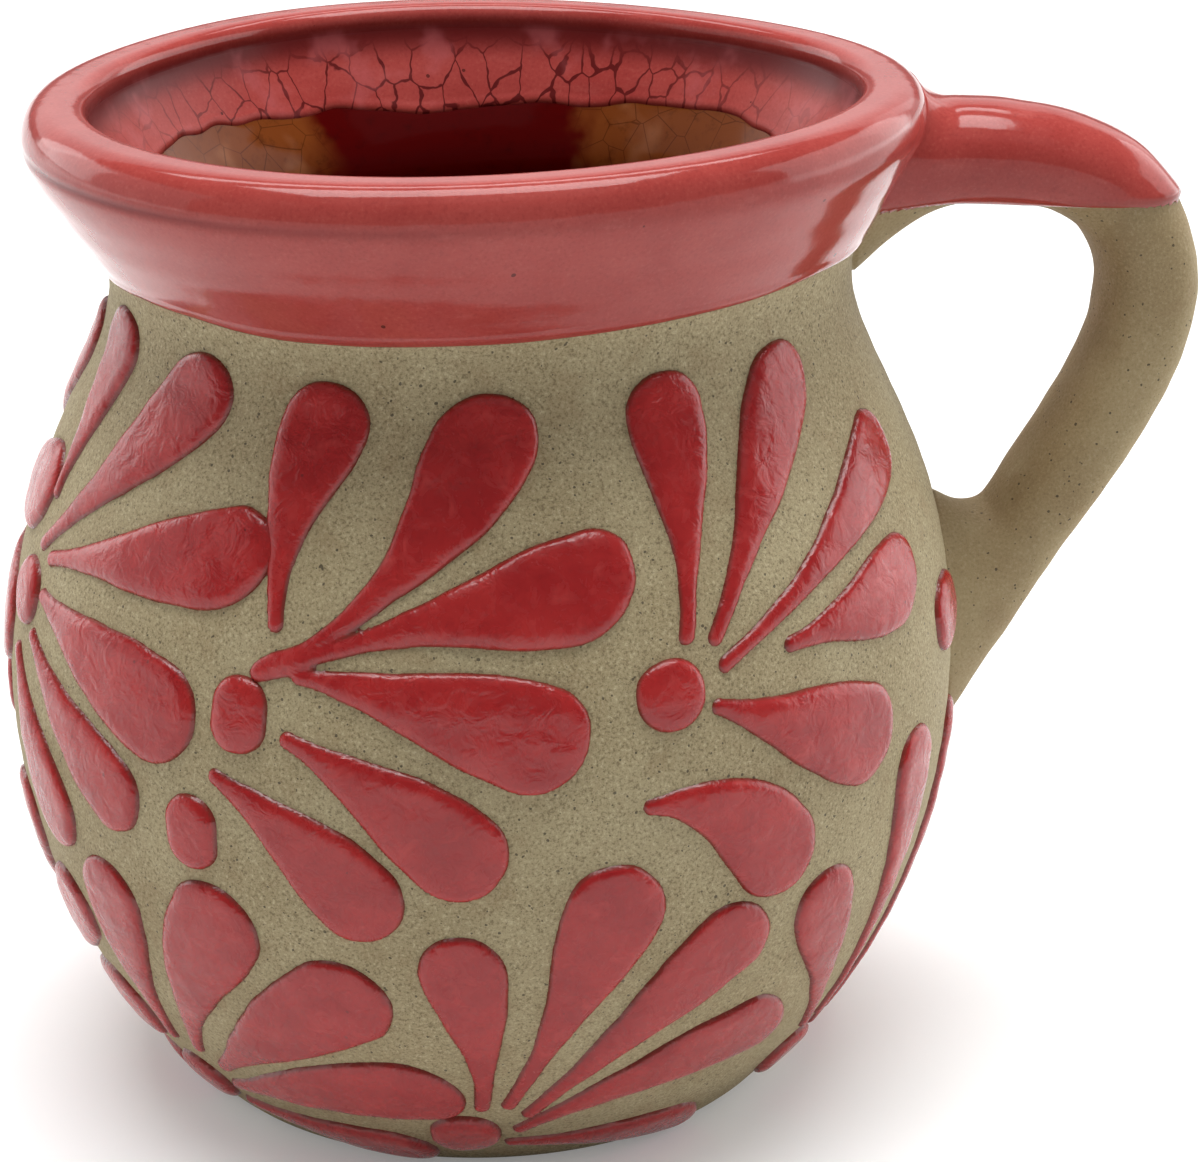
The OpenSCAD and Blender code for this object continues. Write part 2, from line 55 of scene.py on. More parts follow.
# Sizes of the handle, as in the CAD source
HANDLE_T = 9.8
HANDLE_W = 13.0
HANDLE_REACH = 69.2
ARM_DROP = 8.0
UPPER_ROOT_H = 17.4
UPPER_ROOT_DROP = 10.6
LOWER_ROOT_H = 29.0
LOWER_ROOT_Z = 41.8
ROOT_W = 16.0

# Sizes of the raised strokes, as in the CAD source; the rows are running lengths up the wall
RELIEF_H = 0.75
FAN_SIZE = 30.0
DOT_D = 6.6
UPPER_ROW = 55.0
LOWER_ROW = 8.25

# Places and roundings of the wall that follow from these sizes
NECK_Z = POT_H - COLLAR_H
BOWL_Z = 0.195 * POT_H
BOWL_REACH = 0.765 * math.hypot(BELLY_R - FOOT_R, BOWL_Z)
SHOULDER_Z = 0.53 * POT_H
SHOULDER_ROUND = 0.25 * BELLY_R
BELLY_Z = SHOULDER_Z - SHOULDER_ROUND
COLLAR_Z = POT_H - 0.77 * LIP_T
NECK_ROUND = 0.125 * NECK_R
LIP_ROLL = 0.63 * LIP_T
LIP_ROUND = 0.49 * LIP_T
EDGE_ROUND = 0.24 * LIP_T
CREST_R = LIP_R - LIP_T / 2

# Outside, the real neck is this much fuller and lower than in the CAD
NECK_FULL = 1.1
NECK_LOW = 0.9


# Small maths

def smooth_step(a, b, x):
    t = np.clip((x - a) / (b - a), 0, 1)
    return t * t * (3 - 2 * t)


def bell(x, width, power=2):
    """1 at x = 0 and near 0 beyond the width; a higher power has a flatter top."""
    return np.exp(-(x / width) ** power)


def signed(bearing):
    """The same bearing between -180 and 180 degrees."""
    return (np.asarray(bearing) + 180) % 360 - 180


def value_noise(points, seed):
    """Smooth noise from -1 to 1 at each row of points, one cell per unit."""
    offset = Vector((seed * 17.3, seed * 5.1, seed * 9.7))
    return np.array([noise.noise(Vector(p) + offset) for p in points])


def ring_noise(bearing, waves, seed):
    """Smooth noise that closes round the pot, with about that many waves to a turn."""
    angle = np.radians(bearing)
    reach = waves / (2 * math.pi)
    rows = np.stack([np.cos(angle) * reach, np.sin(angle) * reach, np.full_like(angle, seed * 7.7)], -1)
    return value_noise(rows, seed)


# Profile of the wall

# The steps of every rounding are multiplied by this
CURVE_FINENESS = 4


def rounded(corners):
    """Outline through corners [r, z, rounding before, rounding after, steps]. No steps: a sharp corner."""
    points = []
    for i, (r, z, before, after, steps) in enumerate(corners):
        here = np.array([r, z], float)
        if steps == 0:
            points.append(here)
            continue
        last = np.array(corners[i - 1][:2], float)
        following = np.array(corners[i + 1][:2], float)
        a = here + (last - here) * before / np.linalg.norm(last - here)
        b = here + (following - here) * after / np.linalg.norm(following - here)
        for t in np.linspace(0, 1, steps * CURVE_FINENESS + 1):
            points.append((1 - t) ** 2 * a + 2 * t * (1 - t) * here + t * t * b)
    return np.array(points)


class Line:
    """A polyline in (r, z) that is read by its running length."""

    def __init__(self, points):
        points = np.asarray(points)
        steps = np.linalg.norm(np.diff(points, axis=0), axis=1)
        self.points = points[np.concatenate([[True], steps > 1e-6])]
        steps = np.linalg.norm(np.diff(self.points, axis=0), axis=1)
        self.run = np.concatenate([[0], np.cumsum(steps)])

    def at(self, run):
        return np.interp(run, self.run, self.points[:, 0]), np.interp(run, self.run, self.points[:, 1])

    def normal(self, run, reach=0.35):
        r0, z0 = self.at(np.asarray(run) - reach)
        r1, z1 = self.at(np.asarray(run) + reach)
        length = np.hypot(r1 - r0, z1 - z0)
        return (z1 - z0) / length, -(r1 - r0) / length

    def spaced(self, step):
        """Points of the line about one step apart."""
        runs = np.linspace(0, self.run[-1], int(self.run[-1] / step) + 1)
        return np.stack(self.at(runs), -1)


outer = rounded([
    (0, 0, 0, 0, 0),
    (FOOT_R, 0, FOOT_ROUND, FOOT_ROUND, 3),
    (BELLY_R, BOWL_Z, BOWL_REACH, BELLY_Z - BOWL_Z, 14),
    (BELLY_R, SHOULDER_Z, 0.95 * SHOULDER_ROUND, SHOULDER_ROUND, 8),
    (NECK_R + NECK_FULL, NECK_Z - NECK_LOW, 1.6 * NECK_ROUND, 0.8 * NECK_ROUND, 7),
    (LIP_R, COLLAR_Z, 0.6 * LIP_ROLL, LIP_ROLL / 5, 4),
    (LIP_R, POT_H, LIP_ROLL, LIP_ROUND, 6),
    (CREST_R, POT_H, 0, 0, 0)])
inner = rounded([
    (CREST_R, POT_H, 0, 0, 0),
    (LIP_R - LIP_T, POT_H, EDGE_ROUND, EDGE_ROUND, 4),
    (LIP_R - LIP_T, POT_H - 0.5 * LIP_T, EDGE_ROUND, LIP_ROUND, 4),
    (NECK_R - WALL, NECK_Z + WALL / 10, 1.2 * NECK_ROUND, 1.2 * NECK_ROUND, 6),
    (BELLY_R - WALL, SHOULDER_Z - WALL / 4, SHOULDER_ROUND, SHOULDER_ROUND, 6),
    (BELLY_R - WALL, FLOOR_T, BELLY_Z - WALL / 2 - FLOOR_T, 0.68 * (BELLY_R - WALL), 12),
    (0, FLOOR_T, 0, 0, 0)])
wall_line = Line(outer[1:])
whole_line = Line(np.concatenate([outer[1:], inner[1:]]))
crest_run = wall_line.run[-1]

# Above this height each side of the wall has one running length to a height
READABLE_Z = 40


def run_at_height(z, inside):
    """Running length on the whole line where the wall has height z, outside or inside."""
    part = whole_line.run > crest_run if inside else whole_line.run <= crest_run
    runs, heights = whole_line.run[part], whole_line.points[part][:, 1]
    order = np.argsort(heights)
    order = order[heights[order] > READABLE_Z]
    return np.interp(z, heights[order], runs[order])


def on_line(line, bearing, run, lift):
    """Points over a line of the wall, lifted off it by a height."""
    r, z = line.at(run)
    normal_r, normal_z = line.normal(run)
    r, z = r + lift * normal_r, z + lift * normal_z
    angle = np.radians(bearing)
    return np.stack([r * np.sin(angle), -r * np.cos(angle), z], -1)


# The hand-made shape

# The egg shape, the tilt and the lean lie across the photo's view, which is turned this far from X
TURN = math.radians(5)
EGG = 0.077
EGG_HEIGHTS = (70, 93)
TILT = 0.0137
TILT_HEIGHTS = (66, 92)
SHOULDER_LEAN = 0.4
LEAN_STARTS, LEAN_ENDS = (36, 60), (80, 90)
# The handle is left as it is from this far outside the lip
HANDLE_FADE = 12
# The wobble sets in between these heights. Wobble, rings and dents stop within the radius
WOBBLE_HEIGHTS = (1, 12)
STILL_R = 15
# Throwing rings: depth and pitch
RING_DEPTH, RING_PITCH = 0.02, 3.4
# Dents and swellings of the wall: bearing, height, reach in degrees, reach in mm, depth in mm
DENTS = [(-126, 95, 28, 12, -1.6), (165, 95, 60, 12, -1.2), (134, 95, 26, 12, -0.9),
         (0, 73, 400, 7, -0.7), (-100, 50, 30, 12, -0.2),
         (-95, 21, 42, 15, -0.6), (88, 21, 42, 15, -0.45), (-25, 2, 45, 7, 0.3)]


def pot_share(r):
    """1 on the pot, 0 on the handle."""
    return 1 - smooth_step(LIP_R, LIP_R + HANDLE_FADE, r)


def handmade(points):
    """Bends exact points the way the real pot is uneven: an egg-shaped, tilted rim, a shoulder that leans
    towards the handle, dents, throwing rings and a soft wobble."""
    bent = np.array(points, float)
    x, y, z = bent[:, 0].copy(), bent[:, 1].copy(), bent[:, 2].copy()
    r = np.maximum(np.hypot(x, y), 1e-6)
    pot = pot_share(r)
    seen_x = x * math.cos(TURN) - y * math.sin(TURN)
    seen_y = y * math.cos(TURN) + x * math.sin(TURN)
    seen_y = seen_y * (1 - EGG * smooth_step(*EGG_HEIGHTS, z) * np.clip(seen_x / r, -1, 1))
    lean = SHOULDER_LEAN * smooth_step(*LEAN_STARTS, z) * (1 - smooth_step(*LEAN_ENDS, z)) * pot
    bent[:, 0] = (seen_x + lean) * math.cos(TURN) + seen_y * math.sin(TURN)
    bent[:, 1] = seen_y * math.cos(TURN) - (seen_x + lean) * math.sin(TURN)
    bent[:, 2] = z + TILT * seen_x * smooth_step(*TILT_HEIGHTS, z) * pot
    bearing = np.degrees(np.arctan2(x, -y))
    wobble = 0.10 * ring_noise(bearing + 1.2 * z, 3.0, 3) + 0.07 * ring_noise(bearing - 2.1 * z, 7.0, 5)
    rings = RING_DEPTH * np.sin(z * 2 * math.pi / RING_PITCH + np.radians(bearing))
    dents = np.zeros(len(bent))
    for middle, height, wide, high, depth in DENTS:
        dents += depth * bell(signed(bearing - middle), wide) * bell(z - height, high) * pot
    grow = 1 + ((wobble + rings) * smooth_step(*WOBBLE_HEIGHTS, z) + dents) * (r > STILL_R) / r
    bent[:, 0] *= grow
    bent[:, 1] *= grow
    return bent


# Meshes

def make_piece(name, points, faces, node, material, layers=None):
    """One smooth mesh object that stands for a CAD node. Layers are named numbers, one per vertex."""
    mesh = bpy.data.meshes.new(name)
    mesh.from_pydata((handmade(points) * MM).tolist(), [], faces)
    for layer, values in (layers or {}).items():
        data = mesh.attributes.new(layer, "FLOAT", "POINT").data
        data.foreach_set("value", np.asarray(values, np.float32).reshape(-1))
    mesh.validate()
    mesh.polygons.foreach_set("use_smooth", np.ones(len(mesh.polygons), bool))
    piece = bpy.data.objects.new(name, mesh)
    bpy.context.scene.collection.objects.link(piece)
    piece.data.materials.append(material)
    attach(piece, "root")
    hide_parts(node)


def grid_faces(rows, columns):
    """Quads between rows of vertices, with the last column joined to the first."""
    faces = []
    for i in range(rows - 1):
        for j in range(columns):
            k = (j + 1) % columns
            faces.append((i * columns + j, i * columns + k, (i + 1) * columns + k, (i + 1) * columns + j))
    return faces


def row_bearings(columns):
    return np.arange(columns) * 360 / columns


# Materials

def rgb(r, g, b):
    """Linear colour with alpha, from the red, green and blue that a picture shows, 0 to 255."""
    linear = []
    for part in (r / 255, g / 255, b / 255):
        linear.append(part / 12.92 if part <= 0.04045 else ((part + 0.055) / 1.055) ** 2.4)
    return (*linear, 1)


class Nodes:
    """Short calls to build a material's node tree. A socket is given as (node, output) or as a value."""

    def __init__(self, name):
        self.material = bpy.data.materials.new(name)
        self.material.use_nodes = True
        self.tree = self.material.node_tree
        self.shader = next(n for n in self.tree.nodes if n.type == "BSDF_PRINCIPLED")
        self.mm = self.vector("SCALE", (self.new("TexCoord"), "Object"), scale=1000)

    def new(self, kind):
        return self.tree.nodes.new("ShaderNode" + kind)

    def put(self, node, socket, value):
        target = node.inputs[socket]
        if isinstance(value, tuple) and isinstance(value[0], bpy.types.Node):
            self.tree.links.new(value[0].outputs[value[1]], target)
        else:
            target.default_value = value

    def vector(self, operation, a, b=None, scale=None):
        node = self.new("VectorMath")
        node.operation = operation
        self.put(node, 0, a)
        if b is not None:
            self.put(node, 1, b)
        if scale is not None:
            self.put(node, "Scale", scale)
        return node, "Value" if operation == "LENGTH" else "Vector"

    def math(self, operation, a, b):
        node = self.new("Math")
        node.operation = operation
        self.put(node, 0, a)
        self.put(node, 1, b)
        return node, "Value"

    def times(self, a, b):
        return self.math("MULTIPLY", a, b)

    def layer(self, name):
        node = self.new("Attribute")
        node.attribute_name = name
        return node, "Fac"

    def noise(self, scale, detail=2.0, roughness=0.5, where=None, distortion=0.0):
        """Scale is in cells per mm."""
        node = self.new("TexNoise")
        self.put(node, "Vector", where or self.mm)
        self.put(node, "Scale", scale)
        self.put(node, "Detail", detail)
        self.put(node, "Roughness", roughness)
        self.put(node, "Distortion", distortion)
        return node, "Fac"

    def cells(self, scale, feature="F1", where=None, randomness=1.0):
        node = self.new("TexVoronoi")
        node.feature = feature
        self.put(node, "Vector", where or self.mm)
        self.put(node, "Scale", scale)
        self.put(node, "Randomness", randomness)
        return node, "Distance"

    def ramp(self, value, low, high, out_low=0.0, out_high=1.0):
        node = self.new("MapRange")
        node.interpolation_type = "SMOOTHSTEP"
        for socket, v in enumerate((value, low, high, out_low, out_high)):
            self.put(node, socket, v)
        return node, "Result"

    def mix(self, factor, a, b):
        node = self.new("Mix")
        node.data_type = "RGBA"
        self.put(node, "Factor", factor)
        first, second = [i for i, socket in enumerate(node.inputs) if socket.type == "RGBA"]
        self.put(node, first, a)
        self.put(node, second, b)
        return node, next(i for i, socket in enumerate(node.outputs) if socket.type == "RGBA")

    def bump(self, height, depth_mm, strength, below=None):
        node = self.new("Bump")
        self.put(node, "Strength", strength)
        self.put(node, "Distance", depth_mm * MM)
        self.put(node, "Height", height)
        if below:
            self.put(node, "Normal", below)
        return node, "Normal"

    def finish(self, color, roughness, normal=None, **others):
        self.put(self.shader, "Base Color", color)
        self.put(self.shader, "Roughness", roughness)
        if normal:
            self.put(self.shader, "Normal", normal)
        for socket, value in others.items():
            self.put(self.shader, socket.replace("_", " "), value)
        return self.material


def clay_material(name, body, light, dark, sand):
    """Unglazed clay with soft mottling, a few dark specks, small pits and more or less fine sand."""
    m = Nodes(name)
    color = m.mix(m.ramp(m.noise(0.08, 3.0, 0.6), 0.35, 0.68), dark, light)
    color = m.mix(0.5, color, body)
    grain = m.noise(3.4, 2.0, 0.62)
    color = m.mix(m.ramp(grain, 0.28, 0.50, 0.60 * sand, 0.0), color, rgb(92, 80, 54))
    color = m.mix(m.ramp(grain, 0.52, 0.74, 0.0, 0.55 * sand), color, rgb(206, 192, 158))
    dust = m.noise(7.5, 1.0, 0.5)
    color = m.mix(m.ramp(dust, 0.30, 0.46, 0.40 * sand, 0.0), color, rgb(88, 74, 52))
    patch = m.noise(0.22, 3.0, 0.6)
    color = m.mix(m.ramp(patch, 0.52, 0.72, 0.0, 0.30), color, rgb(136, 112, 78))
    speck_size = m.ramp(m.noise(1.7, 1.0, 0.5), 0.50, 0.70, 0.0, 0.27)
    speck = m.math("LESS_THAN", m.cells(1.6), speck_size)
    color = m.mix(m.times(speck, 0.75), color, rgb(44, 34, 22))
    grains = m.bump(grain, 0.10, 0.75 * sand)
    pits = m.bump(m.times(speck, -1.0), 0.10, 0.5, grains)
    normal = m.bump(m.noise(0.5, 3.0, 0.6), 0.14, 0.45, pits)
    return m.finish(color, m.ramp(grain, 0.3, 0.7, 0.86, 0.70), normal, IOR=1.45)


def crazing(m):
    """Network of crazing lines, wider here and there, where the coat's crackle layer says so."""
    tall = m.vector("MULTIPLY", m.mm, (1.0, 1.0, 0.5))
    wander = m.vector("SCALE", (m.noise(0.4, 2.0)[0], "Color"), scale=1.1)
    crack = m.cells(0.34, "DISTANCE_TO_EDGE", m.vector("ADD", tall, wander), randomness=0.75)
    width = m.ramp(m.noise(0.6, 2.0), 0.42, 0.72, 0.014, 0.044)
    line = m.ramp(m.math("SUBTRACT", crack, width), -0.004, 0.016, 1.0, 0.0)
    return m.times(line, m.layer("crackle"))


def coral_glaze(deep, body, pale):
    """Glossy coral glaze: even and a little cloudy outside, duller with crazing inside the mouth. Painted
    shade darkens it along the groove under the lip and just under the lip inside.
    """
    m = Nodes("coral_glaze")
    color = m.mix(m.ramp(m.noise(0.09, 4.0, 0.6), 0.3, 0.7), deep, body)
    streak = m.noise(0.35, 4.0, 0.65, m.vector("MULTIPLY", m.mm, (0.5, 0.5, 2.2)))
    color = m.mix(m.ramp(streak, 0.55, 0.80, 0.0, 0.35), color, pale)
    fine = m.noise(3.0, 2.0, 0.6)
    color = m.mix(m.ramp(fine, 0.28, 0.50, 0.26, 0.0), color, rgb(118, 40, 36))
    color = m.mix(m.ramp(fine, 0.54, 0.76, 0.0, 0.16), color, rgb(196, 112, 102))
    color = m.mix(m.ramp(m.layer("edge"), 0.15, 1.1, 0.6, 0.0), color, rgb(134, 52, 42))
    # Painted shade along the groove under the lip
    color = m.mix(m.layer("crease"), color, rgb(110, 18, 20))
    # Painted shade on the inner wall just under the lip
    color = m.mix(m.layer("under_lip_shade"), color, rgb(84, 14, 16))
    color = m.mix(m.times(crazing(m), 0.9), color, rgb(78, 10, 12))
    inside = m.layer("inside")
    milky = m.times(m.ramp(m.noise(0.16, 3.0, 0.6), 0.52, 0.70, 0.0, 0.32), inside)
    color = m.mix(milky, color, rgb(186, 100, 102))
    speck_size = m.ramp(m.noise(0.5, 1.0), 0.58, 0.75, 0.0, 0.11)
    specks = m.math("LESS_THAN", m.cells(0.42), speck_size)
    color = m.mix(m.times(specks, 0.75), color, rgb(52, 12, 10))
    peel = m.bump(m.noise(0.42, 2.0, 0.4), 0.07, 0.45)
    normal = m.bump(fine, 0.012, 0.35, peel)
    roughness = m.ramp(inside, 0.0, 1.0, 0.11, 0.30)
    shine = m.ramp(inside, 0.0, 1.0, 0.30, 0.12)
    return m.finish(color, roughness, normal, IOR=1.5, Specular_IOR_Level=shine)


def amber_glaze():
    """Dark, glassy maroon glaze with honey-brown crackled patches high on the wall."""
    m = Nodes("amber_glaze")
    ragged = m.ramp(m.noise(0.16, 3.0, 0.5), 0.3, 0.7, -0.22, 0.22)
    honey = m.ramp(m.math("ADD", m.layer("honey"), ragged), 0.30, 0.72)
    color = m.mix(honey, rgb(76, 1, 1), rgb(118, 60, 24))
    color = m.mix(m.ramp(m.noise(0.6, 4.0, 0.7), 0.5, 0.8, 0.0, 0.45), color, rgb(34, 2, 2))
    pale = m.times(honey, m.ramp(m.noise(0.15, 2.0, 0.6), 0.55, 0.72, 0.0, 0.5))
    color = m.mix(pale, color, rgb(160, 104, 70))
    crack = m.ramp(m.cells(0.3, "DISTANCE_TO_EDGE"), 0.004, 0.022, 0.5, 0.0)
    color = m.mix(m.times(crack, honey), color, rgb(48, 12, 4))
    normal = m.bump(m.noise(0.35, 2.0, 0.4), 0.08, 0.4)
    return m.finish(color, 0.12, normal, IOR=1.5, Specular_IOR_Level=0.1)


def coral_slip(deep, body, pale):
    """Raised strokes of coral red slip under clear glaze: brushed, pitted, and brown at the edge."""
    m = Nodes("coral_slip")
    color = m.mix(m.ramp(m.noise(0.20, 3.0, 0.6), 0.3, 0.7), deep, body)
    brushed = m.noise(0.55, 4.0, 0.65, distortion=0.8)
    color = m.mix(m.ramp(brushed, 0.54, 0.76, 0.0, 0.5), color, pale)
    color = m.mix(m.ramp(brushed, 0.24, 0.42, 0.4, 0.0), color, rgb(134, 16, 20))
    color = m.mix(m.ramp(m.layer("edge"), 0.02, 0.34, 0.8, 0.0), color, rgb(104, 50, 38))
    fine = m.noise(2.6, 2.0, 0.6)
    color = m.mix(m.ramp(fine, 0.28, 0.46, 0.3, 0.0), color, rgb(128, 20, 22))
    hole_size = m.ramp(m.noise(0.7, 1.0), 0.57, 0.76, 0.0, 0.15)
    holes = m.math("LESS_THAN", m.cells(0.75), hole_size)
    color = m.mix(m.times(holes, 0.6), color, rgb(74, 10, 14))
    soft = m.bump(m.noise(0.5, 3.0, 0.6, distortion=0.6), 0.34, 0.6)
    ripple = m.bump(fine, 0.022, 0.5, soft)
    normal = m.bump(m.times(holes, -1.0), 0.10, 0.5, ripple)
    return m.finish(color, m.ramp(brushed, 0.3, 0.7, 0.20, 0.32), normal, IOR=1.48)


CLAY = clay_material("clay", rgb(166, 152, 117), rgb(175, 162, 127), rgb(156, 140, 105), 1.0)
CLAY_WARM = clay_material("clay_handle", rgb(158, 139, 103), rgb(166, 150, 114), rgb(140, 119, 84), 0.35)
CORAL = coral_glaze(rgb(156, 58, 53), rgb(168, 70, 64), rgb(184, 94, 88))
AMBER = amber_glaze()
SLIP = coral_slip(rgb(152, 26, 28), rgb(170, 40, 39), rgb(192, 70, 66))


# The thrown pot

POT_COLUMNS = 320
POT_STEP = 0.9


def build_pot():
    line = whole_line.spaced(POT_STEP)[:-1]
    rows = len(line)
    angle = np.radians(row_bearings(POT_COLUMNS))
    r, z = line[:, :1], line[:, 1:]
    points = np.stack([r * np.sin(angle), -r * np.cos(angle), z + 0 * angle], -1).reshape(-1, 3)
    faces = grid_faces(rows, POT_COLUMNS)
    foot_middle, floor_middle = len(points), len(points) + 1
    points = np.concatenate([points, [[0, 0, 0], [0, 0, FLOOR_T]]])
    last_row = (rows - 1) * POT_COLUMNS
    for j in range(POT_COLUMNS):
        k = (j + 1) % POT_COLUMNS
        faces.append((foot_middle, k, j))
        faces.append((last_row + j, last_row + k, floor_middle))
    make_piece("pot_clay", points, faces, "clay_body", CLAY)


# Coral coat over the collar, the lip and a band inside

COAT_COLUMNS = 400
COAT_ROWS = 120
coat_bearings = row_bearings(COAT_COLUMNS)

# The coat's rounded edge: distance from the edge in mm, and lift there as a share of the thickness
COAT_EDGE = np.array([0, 0.12, 0.28, 0.5, 0.8, 1.2])
COAT_RISE = np.array([0, 0.10, 0.62, 0.95, 1.12, 1.10])
# The very edge lies this far inside the clay, so that no gap shows
COAT_SINK = 0.12

# Height of the coat's lower edge outside, before the rim's tilt: bearing, height
DIP_LINE = [(-180, 80.6), (-130, 80.0), (-88, 80.2), (-63, 81.3), (-50, 81.3), (-42, 80.95), (-34, 80.8),
            (-22, 80.9), (-10, 81.2), (1, 81.4), (13, 81.7), (32, 82.05), (51, 82.5), (63, 82.2),
            (90, 81.8), (140, 81.2), (180, 80.6)]
BAND_Z = 86.1

# Groove under the lip: its place below the top, width and depth, and how dark the painted shade along it is
CREASE_BELOW_TOP = 3.3
CREASE_W = 0.3
CREASE_DEPTH = 0.16
CREASE_SHADE_STRENGTH = 0.8
# How dark the painted shade just under the lip inside is
UNDER_LIP_SHADE_STRENGTH = 0.85


def dip_height(bearing):
    """Height of the coat's lower edge outside."""
    places, heights = zip(*DIP_LINE)
    line = np.interp(signed(bearing), places, heights)
    return line + 0.10 * ring_noise(bearing, 12, 11) + 0.06 * ring_noise(bearing, 34, 12)


def band_height(bearing):
    """Height of the ragged lower edge of the coral band inside, which is higher at the left and right."""
    b = signed(bearing)
    high_sides = 2.4 * bell(b - 132, 30) + 1.4 * bell(b + 132, 28)
    ragged = (1.1 * ring_noise(bearing, 7, 21) + 0.8 * ring_noise(bearing, 17, 22)
              + 0.6 * ring_noise(bearing, 48, 23))
    return BAND_Z + high_sides + ragged


def coat_rows(start, end):
    """Running length, lift and distance from the edge of the coat's rows, with rounded edges at both ends."""
    rise = COAT_RISE * GLAZE_T
    rise[0] = -COAT_SINK
    runs, lifts, edges = [], [], []
    for distance, lift in zip(COAT_EDGE, rise):
        runs.append(start + distance)
        lifts.append(np.full_like(start, lift))
        edges.append(np.full_like(start, distance))
    first, last = start + COAT_EDGE[-1], end - COAT_EDGE[-1]
    for t in np.linspace(0, 1, COAT_ROWS)[1:-1]:
        run = first + t * (last - first)
        runs.append(run)
        lifts.append(np.full_like(start, GLAZE_T))
        edges.append(np.minimum(run - start, end - run))
    for distance, lift in zip(COAT_EDGE[::-1], rise[::-1]):
        runs.append(end - distance)
        lifts.append(np.full_like(start, lift))
        edges.append(np.full_like(start, distance))
    return np.array(runs), np.array(lifts), np.array(edges)


def crease_layer(below_top, outside):
    """A soft groove under the lip, strong at the front left, weaker at the front right. The glaze colour
    along it is darkened as painted shade.
    """
    b = signed(coat_bearings)
    part = np.minimum(bell(b + 62, 42) + 0.5 * bell(b - 75, 25), 1)
    place = CREASE_BELOW_TOP - 0.25 * ring_noise(coat_bearings, 6, 25)
    return bell(below_top - place, CREASE_W) * part * outside


def build_rim_coat():
    start = run_at_height(dip_height(coat_bearings), False)
    end = run_at_height(band_height(coat_bearings), True)
    runs, lifts, edges = coat_rows(start, end)
    outside = runs < crest_run
    below_top = POT_H - whole_line.at(runs)[1]
    # The groove is cut into the coat and also painted darker as shade
    crease = crease_layer(below_top, outside)
    inside = smooth_step(1.0, 2.6, below_top) * ~outside
    # Painted shade on the inner wall just under the lip
    under_lip_shade = smooth_step(0.6, 2.0, below_top) * (1 - smooth_step(2.6, 5.5, below_top)) * ~outside
    at_back = 0.25 + 0.75 * bell(np.abs(signed(coat_bearings)) - 180, 62, 4)
    crackle = inside * at_back * smooth_step(2.2, 5.2, below_top)
    points = on_line(whole_line, coat_bearings, runs, lifts - CREASE_DEPTH * crease).reshape(-1, 3)
    layers = {"edge": edges, "inside": inside, "crackle": crackle,
              "crease": CREASE_SHADE_STRENGTH * crease, "under_lip_shade": UNDER_LIP_SHADE_STRENGTH * under_lip_shade}
    make_piece("rim_coat", points, grid_faces(len(runs), COAT_COLUMNS), "rim_glaze", CORAL,
               layers)


# Amber coat that lines the inside

LINER_ROWS = 110
LINER_LIFT = 0.20
LINER_SINK = 0.1
# The liner starts this far up under the coral band, and its last row lies this far from the floor's middle
LINER_OVERLAP = 1.5
LINER_MIDDLE_GAP = 0.6
# Honey patches: bearing and spread in degrees; they fade in between two heights
HONEY = [(-122, 30), (128, 27), (10, 30), (-40, 14)]
HONEY_HEIGHTS = (60, 74)


def build_liner_coat():
    start = run_at_height(band_height(coat_bearings) + LINER_OVERLAP, True)
    end = whole_line.run[-1] - LINER_MIDDLE_GAP
    share = np.linspace(0, 1, LINER_ROWS)[:, None]
    runs = start + share * (end - start)
    lifts = np.full_like(runs, LINER_LIFT)
    lifts[0] = -LINER_SINK
    points = on_line(whole_line, coat_bearings, runs, lifts).reshape(-1, 3)
    patches = [bell(signed(coat_bearings - middle), spread, 4) for middle, spread in HONEY]
    honey = np.max(patches, axis=0) * smooth_step(*HONEY_HEIGHTS, whole_line.at(runs)[1])
    faces = grid_faces(LINER_ROWS, COAT_COLUMNS)
    middle = len(points)
    points = np.concatenate([points, [[0, 0, FLOOR_T + LINER_LIFT]]])
    last_row = (LINER_ROWS - 1) * COAT_COLUMNS
    for j in range(COAT_COLUMNS):
        faces.append((last_row + j, last_row + (j + 1) % COAT_COLUMNS, middle))
    make_piece("liner_coat", points, faces, "liner_glaze", AMBER,
               {"honey": np.append(honey.reshape(-1), 0)})


# Handle

ARM_Z = POT_H - ARM_DROP
ARM_START_X = LIP_R + HANDLE_T / 8
ARM_END_Z = LOWER_ROOT_Z + 0.45 * HANDLE_T
OUT_X = HANDLE_REACH - HANDLE_T / 2
# Middle line: across from the arm's start to its reach, and up from the arm's end to its top
MIDDLE_SHARES = [(-0.124, 0.995), (0.128, 1.005), (0.385, 0.996), (0.643, 0.966), (0.878, 0.883),
                 (1.007, 0.75), (1.004, 0.6), (0.903, 0.449), (0.715, 0.281), (0.506, 0.115), (0.314, -0.029)]
ARM_END = len(MIDDLE_SHARES) - 3

SIDES = 96
ARM_STEPS = 14
FLARE_STEPS = 24
side_angles = np.arange(SIDES) * 2 * math.pi / SIDES

TAPER = 0.85
# Power of the arm's cross-section: 1 is an ellipse, less is squarer
SQUARENESS = 0.86
# Share of the gap for which the flares leave along the arm: on the outer side and on the finger's side
UPPER_FLARE = (0.50, 0.35)
LOWER_FLARE = (0.72, 0.35)
FILLET_SHARE = 0.08
# The upper root starts this much higher, and the lower one this much lower, than in the CAD
ROOT_TOP_RISE = 0.9
ROOT_TOP_DROP = 2.0
# The last ring of each root lies this far inside the wall
ROOT_SINK = 0.25
# The first and last rings have no finger marks
CALM_RINGS = 4


def middle_line():
    """Knots of the handle's middle line. They start lower by what the rim's tilt lifts them."""
    knots = np.array([(ARM_START_X + a * (OUT_X - ARM_START_X), ARM_END_Z + b * (ARM_Z - ARM_END_Z))
                      for a, b in MIDDLE_SHARES])
    x, z = knots[:, 0], knots[:, 1]
    return np.stack([x, z - TILT * x * smooth_step(*TILT_HEIGHTS, z) * pot_share(x)], -1)


